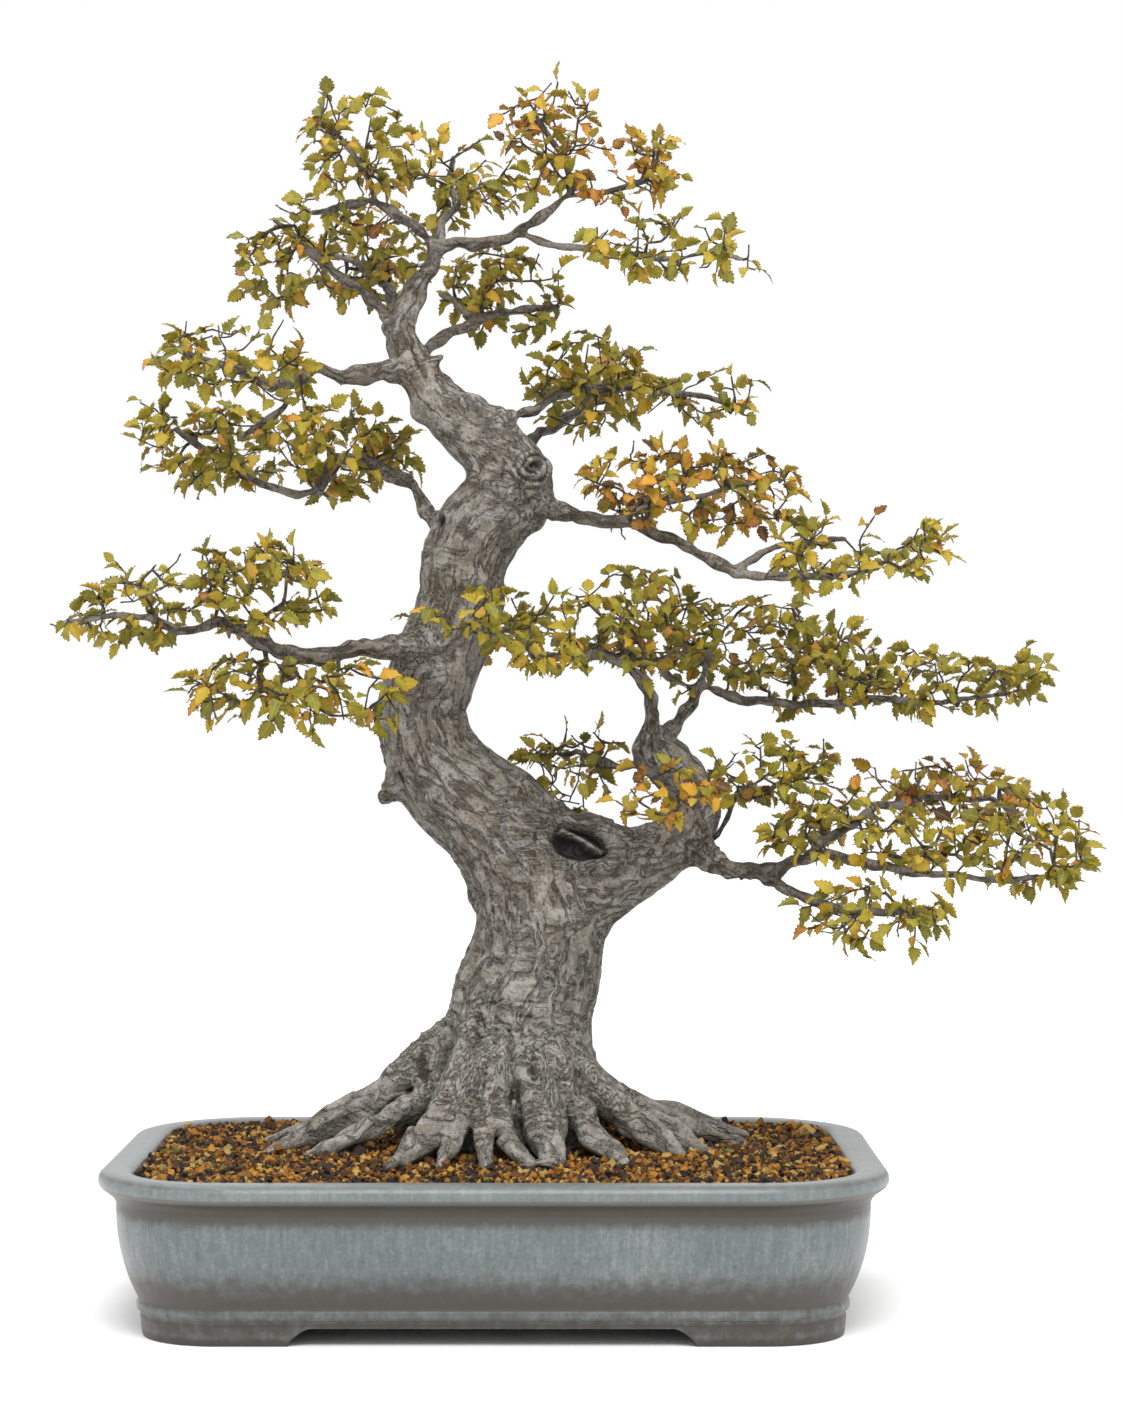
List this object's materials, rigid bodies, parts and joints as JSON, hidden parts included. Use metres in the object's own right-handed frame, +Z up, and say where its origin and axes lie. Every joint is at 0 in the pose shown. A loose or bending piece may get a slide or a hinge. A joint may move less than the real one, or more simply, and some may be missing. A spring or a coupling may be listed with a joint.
{
  "type": "bonsai tree in a pot",
  "caption": "Informal-upright bonsai tree with exposed roots, bending trunk, layered branches and small autumn leaves, in a shallow glazed rectangular pot on four feet.",
  "frame": {"origin": "centre of the whole piece's bounding box on the surface that the pot's feet stand on; the pot's own centre is 49.5 mm to -X and 8.5 mm to -Y of it", "axes": "+Z up the tree, +X to the right along the pot's long side, +Y away from the front, which is the side the broad surface roots show on"},
  "size_m": [0.621, 0.343, 0.738],
  "materials": {
    "glaze": "satin",
    "soil": "matte",
    "screen_plastic": "satin",
    "clip_wire": "satin",
    "bark": "matte",
    "limb_bark": "matte",
    "leaf_green": "matte",
    "leaf_gold": "matte"
  },
  "bodies": {
    "root": {"pot": "glaze", "soil": "soil", "drain_screen_left": "screen_plastic", "screen_clip_left": "clip_wire", "drain_screen_right": "screen_plastic", "screen_clip_right": "clip_wire", "trunk": "bark", "right_trunk": "bark", "limb_left_low": "limb_bark", "limb_left_mid": "limb_bark", "limb_left_high": "limb_bark", "limb_left_top": "limb_bark", "limb_apex_left": "limb_bark", "limb_apex_mid": "limb_bark", "limb_apex_right": "limb_bark", "limb_right_top": "limb_bark", "limb_upper_inner": "limb_bark", "limb_right_high": "limb_bark", "limb_right_mid": "limb_bark", "limb_right_inner": "limb_bark", "limb_right_outer": "limb_bark", "limb_right_low": "limb_bark", "limb_crotch": "limb_bark", "limb_back_low": "limb_bark", "limb_back_high": "limb_bark", "limb_back_top": "limb_bark", "foliage_left_low": "leaf_green", "foliage_left_under": "leaf_green", "foliage_left_front": "leaf_green", "foliage_left_mid": "leaf_green", "foliage_left_high": "leaf_green", "foliage_left_top": "leaf_green", "foliage_apex_left": "leaf_green", "foliage_apex_mid": "leaf_green", "foliage_apex_right": "leaf_gold", "foliage_right_top": "leaf_green", "foliage_upper_inner": "leaf_green", "foliage_right_high": "leaf_green", "foliage_right_mid": "leaf_gold", "foliage_right_mid_tip": "leaf_green", "foliage_right_inner": "leaf_green", "foliage_right_outer": "leaf_green", "foliage_right_tip": "leaf_green", "foliage_crotch": "leaf_green", "foliage_low_inner": "leaf_green", "foliage_low_outer": "leaf_green", "foliage_low_tip": "leaf_green", "foliage_low_back": "leaf_gold", "foliage_low_under": "leaf_green", "foliage_low_front": "leaf_gold", "foliage_back_low": "leaf_green", "foliage_back_high": "leaf_green", "foliage_back_top": "leaf_green"}
  },
  "joints": []
}
